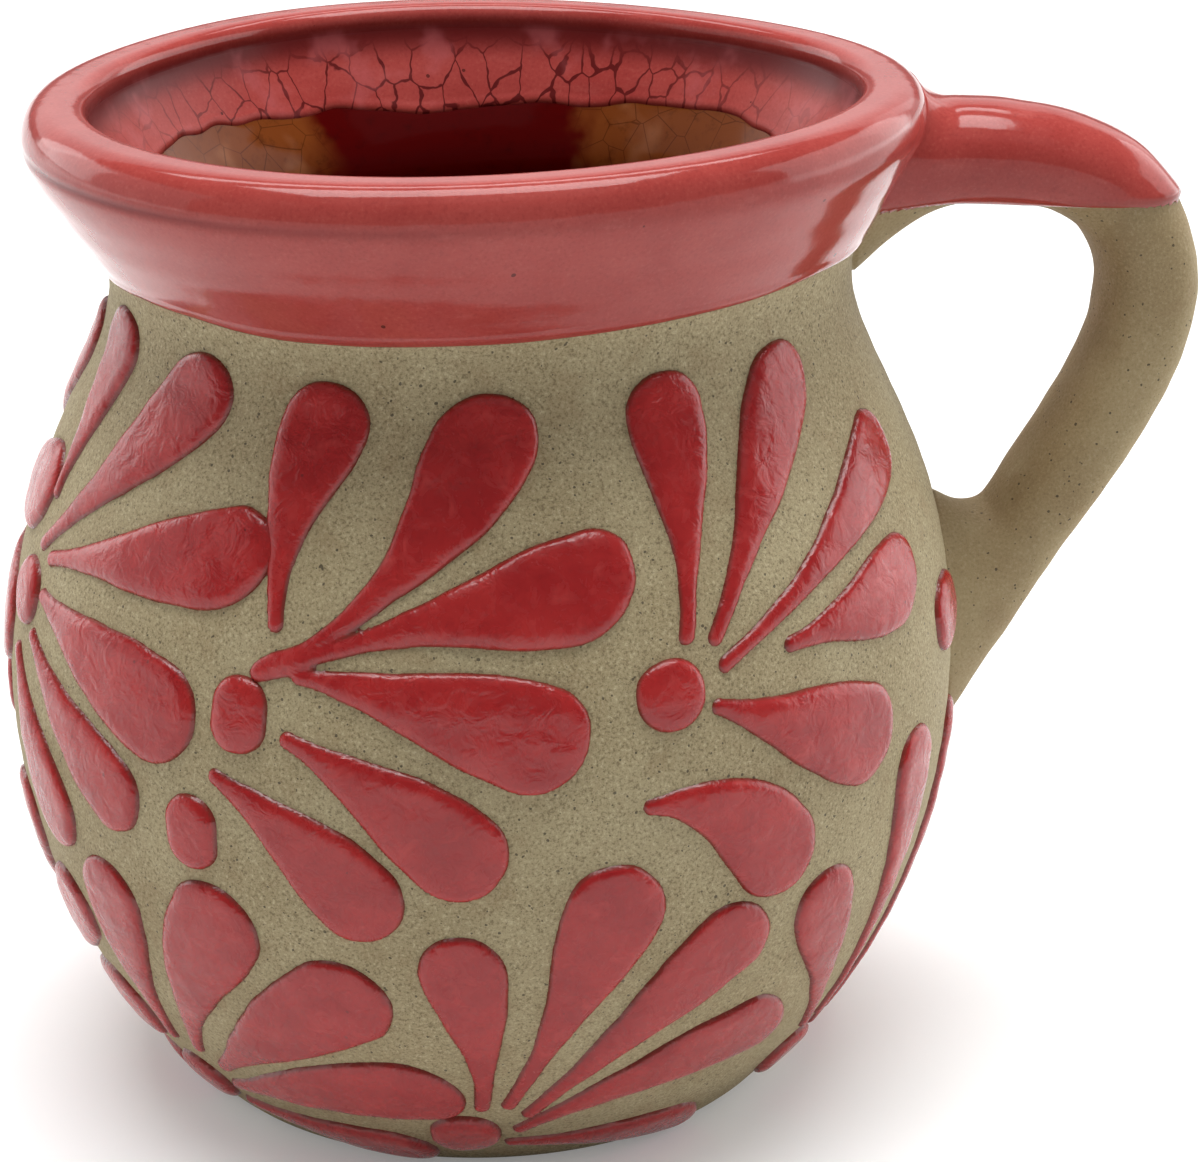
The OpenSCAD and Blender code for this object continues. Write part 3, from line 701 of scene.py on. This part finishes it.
def arm_spot(knots, k):
    """Point and direction of the handle's middle line at knot interval k."""
    i = min(int(k), len(knots) - 4)
    t = k - i
    a, b, c, d = knots[i:i + 4]
    slope, bend, twist = c - a, 2 * a - 5 * b + 4 * c - d, 3 * b - a - 3 * c + d
    spot = (2 * b + slope * t + bend * t ** 2 + twist * t ** 3) / 2
    way = slope + 2 * bend * t + 3 * twist * t ** 2
    return spot, way / np.linalg.norm(way)


def arm_ring(knots, k):
    """Ring of points round the arm. Side 0 is the outer side, away from the fingers."""
    spot, way = arm_spot(knots, k)
    across, wide = np.cos(side_angles), np.sin(side_angles)
    across = np.sign(across) * np.abs(across) ** SQUARENESS
    wide = np.sign(wide) * np.abs(wide) ** SQUARENESS
    taper = 1 - (1 - TAPER) * (k / ARM_END) ** 1.5
    slim_start = 0.94 + 0.07 * smooth_step(1.5, 3.6, k)
    reach = HANDLE_T / 2 * taper * slim_start * across
    return np.stack([spot[0] - way[1] * reach, HANDLE_W / 2 * wide, spot[1] + way[0] * reach], -1)


def root_ring(z_middle, half_h, lift):
    """Ring on the curved wall, where a root of the handle meets it."""
    y = ROOT_W / 2 * np.sin(side_angles)
    z = z_middle + half_h * np.cos(side_angles)
    r = np.interp(z, wall_line.points[:, 1], wall_line.points[:, 0]) + lift
    return np.stack([np.sqrt(r * r - y * y), y, z], -1)


def flare(arm, way, z_middle, half_h, shares):
    """Rings from the arm to the wall. They leave along the arm and lie down on the wall in a fillet."""
    root = root_ring(z_middle, half_h, -ROOT_SINK)
    near = root_ring(z_middle, half_h, 0.0)
    gap = np.linalg.norm(near - arm, axis=1)[:, None]
    share = (shares[0] + (shares[1] - shares[0]) * (1 - np.cos(side_angles)) / 2)[:, None]
    start = arm + way * gap * share
    end = near + (arm - near) * FILLET_SHARE
    rings = []
    for t in np.linspace(0, 1, FLARE_STEPS + 1)[1:]:
        rings.append((1 - t) ** 3 * arm + 3 * t * (1 - t) ** 2 * start + 3 * t * t * (1 - t) * end
                     + t ** 3 * near)
    return rings + [root]


def finger_marks(rings):
    """Soft unevenness of a strap of clay that was pulled and smoothed by hand."""
    away = rings - rings.mean(axis=1, keepdims=True)
    flat = rings.reshape(-1, 3)
    swell = 0.045 * value_noise(flat / 11, 31) + 0.022 * value_noise(flat / 4.5, 32)
    calm = np.ones(len(rings))
    calm[:CALM_RINGS] = calm[-CALM_RINGS:] = 0
    return rings + away * (swell.reshape(rings.shape[:2]) * calm[:, None])[..., None]


def handle_rings():
    """Rings of the whole handle, from the root at the lip to the root at the belly."""
    knots = middle_line()
    arm = [arm_ring(knots, k) for k in np.linspace(0, ARM_END, ARM_END * ARM_STEPS + 1)]
    first_way, last_way = arm_spot(knots, 0)[1], arm_spot(knots, ARM_END)[1]
    upper = flare(arm[0], np.array([-first_way[0], 0, -first_way[1]]),
                  POT_H - UPPER_ROOT_DROP + ROOT_TOP_RISE / 2,
                  (UPPER_ROOT_H + ROOT_TOP_RISE) / 2, UPPER_FLARE)
    lower = flare(arm[-1], np.array([last_way[0], 0, last_way[1]]),
                  LOWER_ROOT_Z - ROOT_TOP_DROP / 2,
                  -(LOWER_ROOT_H - ROOT_TOP_DROP) / 2, LOWER_FLARE)
    return finger_marks(np.array(upper[::-1] + arm + lower))


def build_handle(rings):
    make_piece("handle_clay", rings.reshape(-1, 3), grid_faces(len(rings), SIDES), "handle",
               CLAY_WARM)


# Coral coat over the top of the handle

# Height of the dip's edge. Outwards it falls by this slope from an X place, and the fall sets in softly
HANDLE_DIP_Z = 84.1
HANDLE_DIP_SLOPE = 0.02
HANDLE_DIP_X = 50
HANDLE_DIP_SOFT = (48, 60)
# A slightly thicker edge: distance above it, spread and height
BEAD_PLACE, BEAD_SPREAD, BEAD_H = 0.7, 0.5, 0.06


def ring_normals(rings):
    along = np.gradient(rings, axis=0)
    around = (np.roll(rings, -1, axis=1) - np.roll(rings, 1, axis=1)) / 2
    normals = np.cross(around, along)
    normals /= np.maximum(np.linalg.norm(normals, axis=2), 1e-9)[..., None]
    outward = rings - rings.mean(axis=1, keepdims=True)
    return normals * np.sign((normals * outward).sum(2).mean())


def build_handle_coat(rings):
    points = rings.reshape(-1, 3)
    x, z = points[:, 0], points[:, 2]
    fall = HANDLE_DIP_SLOPE * (x - HANDLE_DIP_X) * smooth_step(*HANDLE_DIP_SOFT, x)
    above = z - (HANDLE_DIP_Z + 0.25 * value_noise(points / 9, 41) - fall)
    lift = np.where(above < 0, -COAT_SINK, 0) + smooth_step(-0.15, 0.45, above) * (GLAZE_T + COAT_SINK)
    lift = lift + BEAD_H * bell(above - BEAD_PLACE, BEAD_SPREAD)
    coat = points + ring_normals(rings).reshape(-1, 3) * lift[:, None]
    kept = above > -0.5
    faces = [face for face in grid_faces(len(rings), SIDES) if all(kept[list(face)])]
    used = sorted({i for face in faces for i in face})
    renumber = {old: new for new, old in enumerate(used)}
    faces = [tuple(renumber[i] for i in face) for face in faces]
    none = np.zeros(len(used))
    layers = {"edge": np.maximum(above, 0)[used], "inside": none, "crackle": none, "crease": none,
              "under_lip_shade": none}
    make_piece("handle_coat", coat[used], faces, "handle_glaze", CORAL, layers)


# Raised strokes

# Strokes: root across and up, head across and up, head width, bow, slimness, as shares of the fan's size
UPPER_A = [(0.02, 0.33, 0.10, 0.84, 0.25, 0.00, 1.8), (0.05, 0.17, 0.57, 0.78, 0.30, -0.05, 2.0),
           (0.15, 0.15, 0.92, 0.36, 0.31, 0.02, 1.8), (0.15, 0.03, 0.83, -0.13, 0.32, 0.03, 1.4),
           (0.12, -0.11, 0.66, -0.43, 0.26, 0.00, 1.5), (-0.03, -0.20, 0.29, -0.61, 0.27, 0.00, 1.5)]
# The seventh stroke of this fan is a stub, where the tails run together at the dot
UPPER_B = [(0.065, 0.28, 0.11, 0.845, 0.28, 0.07, 2.0), (0.12, 0.18, 0.585, 0.80, 0.33, -0.13, 2.5),
           (0.18, 0.195, 0.93, 0.405, 0.33, 0.05, 2.2), (0.16, 0.14, 0.86, -0.02, 0.32, 0.05, 1.5),
           (0.14, -0.05, 0.65, -0.36, 0.30, 0.05, 1.5), (-0.09, -0.20, 0.35, -0.52, 0.29, 0.06, 1.5),
           (0.03, 0.135, 0.16, 0.185, 0.085, 0.01, 0.5)]
UPPER_H = [(0.07, 0.28, 0.12, 0.82, 0.27, 0.06, 2.0), (0.05, 0.16, 0.60, 0.78, 0.30, -0.10, 2.4),
           (0.20, 0.19, 0.92, 0.38, 0.30, 0.04, 2.0), (0.15, 0.08, 0.80, -0.03, 0.31, 0.05, 1.5),
           (0.14, -0.05, 0.64, -0.38, 0.29, 0.03, 1.4), (-0.07, -0.19, 0.32, -0.54, 0.26, 0.04, 1.5)]
UPPER_C = [(0.06, 0.16, 0.105, 0.785, 0.26, -0.04, 2.2), (0.15, 0.14, 0.54, 0.785, 0.27, 0.00, 2.0),
           (0.18, 0.06, 0.97, 0.49, 0.25, 0.00, 2.4), (0.42, 0.07, 0.95, 0.11, 0.28, 0.00, 1.6),
           (0.15, -0.06, 0.72, -0.29, 0.32, 0.00, 1.4), (-0.07, -0.32, 0.36, -0.56, 0.31, 0.13, 1.3)]
LOWER_D = [(-0.02, 0.22, -0.01, 0.80, 0.29, 0.00, 1.8), (0.11, 0.22, 0.45, 0.85, 0.32, 0.05, 1.7),
           (0.19, 0.16, 0.83, 0.66, 0.31, 0.04, 1.4), (0.17, 0.04, 0.90, 0.26, 0.30, 0.06, 1.3),
           (0.14, -0.08, 0.66, -0.13, 0.20, 0.00, 1.4)]
LOWER_E = [(0.06, 0.18, 0.02, 0.80, 0.26, -0.05, 2.2), (0.14, 0.19, 0.475, 0.985, 0.31, 0.00, 2.6),
           (0.20, 0.13, 0.86, 0.80, 0.27, 0.08, 2.0), (0.17, 0.03, 0.96, 0.38, 0.27, 0.12, 1.6),
           (0.14, -0.08, 0.68, -0.13, 0.20, 0.00, 1.4)]
LOWER_F = [(-0.04, 0.18, -0.31, 0.81, 0.26, 0.00, 2.2), (0.05, 0.19, 0.14, 1.12, 0.25, 0.00, 2.6),
           (0.15, 0.15, 0.67, 1.04, 0.19, -0.06, 2.4), (0.18, 0.04, 0.90, 0.34, 0.27, 0.06, 1.6),
           (0.14, -0.08, 0.66, -0.13, 0.20, 0.00, 1.4)]
LOWER_G = [(0.00, 0.18, 0.02, 0.58, 0.22, 0.00, 1.8), (0.11, 0.19, 0.34, 0.64, 0.23, 0.00, 2.0),
           (0.17, 0.11, 0.54, 0.36, 0.23, 0.04, 1.6), (0.15, -0.03, 0.40, -0.02, 0.19, 0.00, 1.4)]
LOWER_H = [(0.01, 0.21, 0.02, 0.78, 0.27, 0.00, 1.8), (0.12, 0.21, 0.45, 0.84, 0.29, 0.03, 1.9),
           (0.19, 0.15, 0.76, 0.64, 0.27, 0.05, 1.6), (0.17, 0.04, 0.76, 0.27, 0.26, 0.07, 1.4),
           (0.14, -0.08, 0.58, -0.13, 0.20, 0.00, 1.4)]
# Fans: bearing, rise above the row as a share of the fan's size, strokes
UPPER_FANS = [(-76.6, 0.075, UPPER_A), (-32.5, 0, UPPER_B), (16, 0.07, UPPER_C), (105.5, 0.02, UPPER_H),
              (150, 0, UPPER_A), (194.5, 0.02, UPPER_H), (239, 0.01, UPPER_A)]
LOWER_FANS = [(-55, 0, LOWER_D), (-8.6, 0, LOWER_E), (50.8, 0, LOWER_F), (98.5, 0, LOWER_G),
              (131, 0.02, LOWER_H), (174, 0, LOWER_H), (218, 0.01, LOWER_H), (261.5, 0, LOWER_H)]
# Dots of the upper row: shift in degrees, width and height as shares of the dot's size
UPPER_DOTS = [(0, 1, 1), (-0.8, 0.84, 1.08), (0, 1, 1), (0, 1, 1), (0, 0.95, 1.05), (0, 1, 1),
              (0, 1.05, 0.95)]
# Height of the lower row's dots as a share of their width
LOWER_DOT_HIGH = 1.1
# Single ovals: bearing, height as a share of the upper row's, width and height as shares of the dot's size
OVALS = [(-39.3, 0.785, 0.85, 1.1), (69.5, 0.967, 1.3, 1.1)]

GRID = 0.30
MARGIN = 0.6
# The tails are a little fuller than in the CAD
TAIL_W = 1.6
STROKE_DISCS = 48
DOT_DISCS = 9
# Strokes that come this near run together
BLEND = 0.45
# Hand wobble of the outline: depth and cell size
SHAKE, SHAKE_CELL = 0.16, 3.2
# The dome rises from the edge over this distance, and its foot lies this far inside the clay
EDGE_ROLL = 1.5
STROKE_SINK = 0.10
UNEVEN, UNEVEN_CELL = 0.10, 4.0
CROWN = 0.10
DOT_H = 1.15 * RELIEF_H


def stroke_discs(stroke):
    """Centres and radii of the discs that a stroke sweeps, in mm from the fan's dot."""
    root, head = np.array(stroke[:2]), np.array(stroke[2:4])
    head_w, bow, slimness = stroke[4:]
    way = (head - root) / np.linalg.norm(head - root)
    knee = (root + head) / 2 + bow * np.array([-way[1], way[0]])
    t = np.linspace(0, 1, STROKE_DISCS)[:, None]
    centres = ((1 - t) ** 2 * root + 2 * t * (1 - t) * knee + t * t * head) * FAN_SIZE
    full = head_w * FAN_SIZE / 2
    radii = TAIL_W / 2 + (full - TAIL_W / 2) * np.sin(np.pi / 2 * t[:, 0] ** slimness)
    return centres, radii


def ellipse_discs(wide, high):
    """A dot is a short row of discs along its longer side."""
    small, reach = min(wide, high) / 2, abs(high - wide) / 2
    centres = np.linspace(-reach, reach, DOT_DISCS)[:, None] * ([0, 1] if high > wide else [1, 0])
    return centres, np.full(DOT_DISCS, small)


def outline_field(shapes, seed, places):
    """Distance inside the shapes' edge, below 0 outside, and the width of the shape there."""
    cells = np.concatenate([places / SHAKE_CELL, np.full((len(places), 1), seed * 3.1)], 1)
    shaken = places + SHAKE * np.stack([value_noise(cells, seed), value_noise(cells, seed + 50)], -1)
    best = np.full(len(places), -1e9)
    wide = np.zeros(len(places))
    for centres, radii in shapes:
        distances = radii[None, :] - np.linalg.norm(shaken[:, None, :] - centres[None, :, :], axis=2)
        nearest = distances.argmax(1)
        distance = distances[np.arange(len(places)), nearest]
        share = np.clip(0.5 + 0.5 * (distance - best) / BLEND, 0, 1)
        wide = wide * (1 - share) + radii[nearest] * share
        best = best * (1 - share) + distance * share + BLEND * share * (1 - share)
    return best, wide


def pull_to_edge(shapes, seed, places):
    """Moves places just outside the shapes onto their edge."""
    step = 0.05
    for _ in range(3):
        here = outline_field(shapes, seed, places)[0]
        slope_x = (outline_field(shapes, seed, places + [step, 0])[0] - here) / step
        slope_y = (outline_field(shapes, seed, places + [0, step])[0] - here) / step
        size = np.maximum(slope_x ** 2 + slope_y ** 2, 0.2)
        places = places - np.stack([slope_x, slope_y], -1) * (here / size)[:, None]
    return places


def domed_height(places, edge, wide, seed, height):
    """Height of the slip: it rises from the edge in a round, is lower in thin tails and a little uneven."""
    share = np.clip(edge / np.minimum(EDGE_ROLL, np.maximum(wide, 0.3)), 0, 1)
    dome = np.sqrt(np.maximum(1 - (1 - share) ** 2, 0))
    tall = height * (0.58 + 0.42 * smooth_step(0.6, 2.8, wide))
    cells = np.concatenate([places / UNEVEN_CELL, np.full((len(places), 1), seed * 1.7)], 1)
    uneven = 1 + UNEVEN * value_noise(cells, seed + 7)
    crown = CROWN * np.clip(edge / np.maximum(wide, 0.5), 0, 1)
    return tall * dome * uneven * (0.92 + crown)


def relief(shapes, seed, low, high, height):
    """Raised shapes over a flat grid: points, faces, distance to the edge and lift of each point."""
    across = np.arange(low[0], high[0] + GRID, GRID)
    upward = np.arange(low[1], high[1] + GRID, GRID)
    grid_x, grid_y = np.meshgrid(across, upward)
    grid = np.stack([grid_x.ravel(), grid_y.ravel()], -1)
    depth = outline_field(shapes, seed, grid)[0]
    columns = len(across)
    inside = (depth > 0).reshape(len(upward), columns)
    squares = inside[:-1, :-1] | inside[1:, :-1] | inside[:-1, 1:] | inside[1:, 1:]
    i, j = np.nonzero(squares)
    corner = i * columns + j
    quads = np.stack([corner, corner + 1, corner + columns + 1, corner + columns], -1)
    used = np.unique(quads)
    number = np.full(len(grid), -1)
    number[used] = np.arange(len(used))
    places = grid[used]
    rim = depth[used] < 0
    places[rim] = pull_to_edge(shapes, seed, places[rim])
    edge, wide = outline_field(shapes, seed, places)
    edge = np.maximum(edge, 0)
    edge[rim] = 0
    lift = np.where(rim, -STROKE_SINK, domed_height(places, edge, wide, seed, height))
    return places, number[quads], edge, lift


def raise_on_wall(bearing, row, places, lift):
    """Wraps flat places round the pot, with their zero at a bearing and a running length up the wall."""
    run = row + places[:, 1]
    r = wall_line.at(run)[0]
    return on_line(wall_line, bearing + np.degrees(places[:, 0] / r), run, lift)


def fan_piece(name, node, bearing, row, strokes, seed):
    shapes = [stroke_discs(stroke) for stroke in strokes]
    low = np.min([(centres - radii[:, None]).min(0) for centres, radii in shapes], axis=0) - MARGIN
    high = np.max([(centres + radii[:, None]).max(0) for centres, radii in shapes], axis=0) + MARGIN
    places, quads, edge, lift = relief(shapes, seed, low, high, RELIEF_H)
    make_piece(name, raise_on_wall(bearing, row, places, lift), quads.tolist(), node, SLIP,
               {"edge": edge})


def dots_piece(name, node, dots):
    """Several dots as one mesh: bearing, running length up the wall, width and height of each."""
    points, faces, edges = [], [], []
    count = 0
    for i, (bearing, run, wide, high) in enumerate(dots):
        low = np.array([-wide / 2, -high / 2]) - MARGIN
        places, quads, edge, lift = relief([ellipse_discs(wide, high)], 200 + i, low, -low, DOT_H)
        points.append(raise_on_wall(bearing, run, places, lift))
        faces += (quads + count).tolist()
        edges.append(edge)
        count += len(places)
    make_piece(name, np.concatenate(points), faces, node, SLIP, {"edge": np.concatenate(edges)})


def build_fans(fans, row, name, node, seed):
    for i, (bearing, rise, strokes) in enumerate(fans):
        fan_piece(f"{name}_{i + 1}", f"{node}_{i + 1}", bearing, row + rise * FAN_SIZE, strokes, seed + i)


def build_dots():
    upper = [(bearing + shift, UPPER_ROW + rise * FAN_SIZE, wide * DOT_D, high * DOT_D)
             for (bearing, rise, _), (shift, wide, high) in zip(UPPER_FANS, UPPER_DOTS)]
    lower = [(bearing, LOWER_ROW + rise * FAN_SIZE, DOT_D, DOT_D * LOWER_DOT_HIGH)
             for bearing, rise, _ in LOWER_FANS]
    ovals = [(bearing, share * UPPER_ROW, wide * DOT_D, high * DOT_D) for bearing, share, wide, high in OVALS]
    dots_piece("upper_raised_dots", "upper_dots", upper)
    dots_piece("lower_raised_dots", "lower_dots", lower)
    dots_piece("oval_raised_dots", "oval_dots", ovals)


build_pot()
build_rim_coat()
build_liner_coat()
rings = handle_rings()
build_handle(rings)
build_handle_coat(rings)
build_fans(UPPER_FANS, UPPER_ROW, "upper_strokes", "upper_fan", 60)
build_fans(LOWER_FANS, LOWER_ROW, "lower_strokes", "lower_fan", 80)
build_dots()


# Stage, light and camera

# What the floor adds for rays from the camera and from gloss and glass. Far from the lamps it adds more, so
# that it stays white: the distances are in mm from the mug.
NEAR_GLOW = 0.20
FAR_GLOW = 1.0
GLOW_RISES = (600, 1600)
FLOOR_R = 40.0
WORLD_LIGHT = 0.16
LAMP_TARGET = (0, 0, 0.05)
# Softboxes: name, place, size in metres, power in watts
SOFTBOXES = [("top", (0.0, 0.0, 1.1), (1.0, 0.6), 15.2),
             ("high_front", (0.0, -0.6, 0.95), (1.2, 0.5), 0.5),
             ("high_rear", (0.0, 0.6, 0.95), (1.0, 0.16), 2.5),
             ("rear", (0.0, 1.2, 0.65), (2.4, 0.7), 4.0),
             ("rear_left", (-0.77, 0.64, 0.35), (0.6, 0.5), 1.8),
             ("rear_right", (0.77, 0.64, 0.35), (0.6, 0.5), 0.45),
             ("left", (-1.0, 0.3, 0.30), (1.3, 0.8), 2.6),
             ("right", (1.0, 0.25, 0.30), (1.1, 0.8), 6.3)]


def floor_material():
    """Pale floor: it takes the mug's shadow, and shows as white to the camera and in the glaze."""
    m = Nodes("pale_floor")
    m.finish(rgb(232, 232, 232), 0.9)
    path = m.new("LightPath")
    seen = m.math("MAXIMUM", (path, "Is Camera Ray"), (path, "Is Glossy Ray"))
    seen = m.math("MAXIMUM", seen, (path, "Is Transmission Ray"))
    glow = m.new("Emission")
    away = m.vector("LENGTH", m.mm)
    m.put(glow, "Strength", m.times(seen, m.ramp(away, *GLOW_RISES, NEAR_GLOW, FAR_GLOW)))
    both = m.new("AddShader")
    m.put(both, 0, (m.shader, 0))
    m.put(both, 1, (glow, 0))
    out = next(n for n in m.tree.nodes if n.type == "OUTPUT_MATERIAL")
    m.put(out, 0, (both, 0))
    return m.material


def build_floor():
    bpy.ops.mesh.primitive_circle_add(vertices=96, radius=FLOOR_R, fill_type="NGON", location=(0, 0, 0))
    floor = bpy.context.object
    floor.name = "floor"
    floor.data.materials.append(floor_material())


def build_world(scene):
    world = bpy.data.worlds.new("studio")
    world.use_nodes = True
    background = next(n for n in world.node_tree.nodes if n.type == "BACKGROUND")
    background.inputs["Color"].default_value = (1, 1, 1, 1)
    background.inputs["Strength"].default_value = WORLD_LIGHT
    scene.world = world


def build_softbox(scene, name, place, size, power):
    data = bpy.data.lights.new(name, "AREA")
    data.shape = "RECTANGLE"
    data.size, data.size_y = size
    data.energy = power
    lamp = bpy.data.objects.new(name, data)
    lamp.location = place
    lamp.rotation_euler = (Vector(LAMP_TARGET) - Vector(place)).to_track_quat("-Z", "Y").to_euler()
    scene.collection.objects.link(lamp)


def build_camera(scene):
    """The photo's view, fitted to the mug's outline, rim and glaze line."""
    data = bpy.data.cameras.new("camera")
    data.sensor_fit = "HORIZONTAL"
    data.sensor_width = 36
    data.lens = 101.9
    camera = bpy.data.objects.new("camera", data)
    camera.location = (-0.02698, -0.30835, 0.16379)
    camera.rotation_euler = (math.radians(69.31), 0, math.radians(-7.14))
    scene.collection.objects.link(camera)
    scene.camera = camera


scene = bpy.context.scene
scene.view_settings.view_transform = "Standard"
build_floor()
build_world(scene)
for name, place, size, power in SOFTBOXES:
    build_softbox(scene, name, place, size, power)
build_camera(scene)
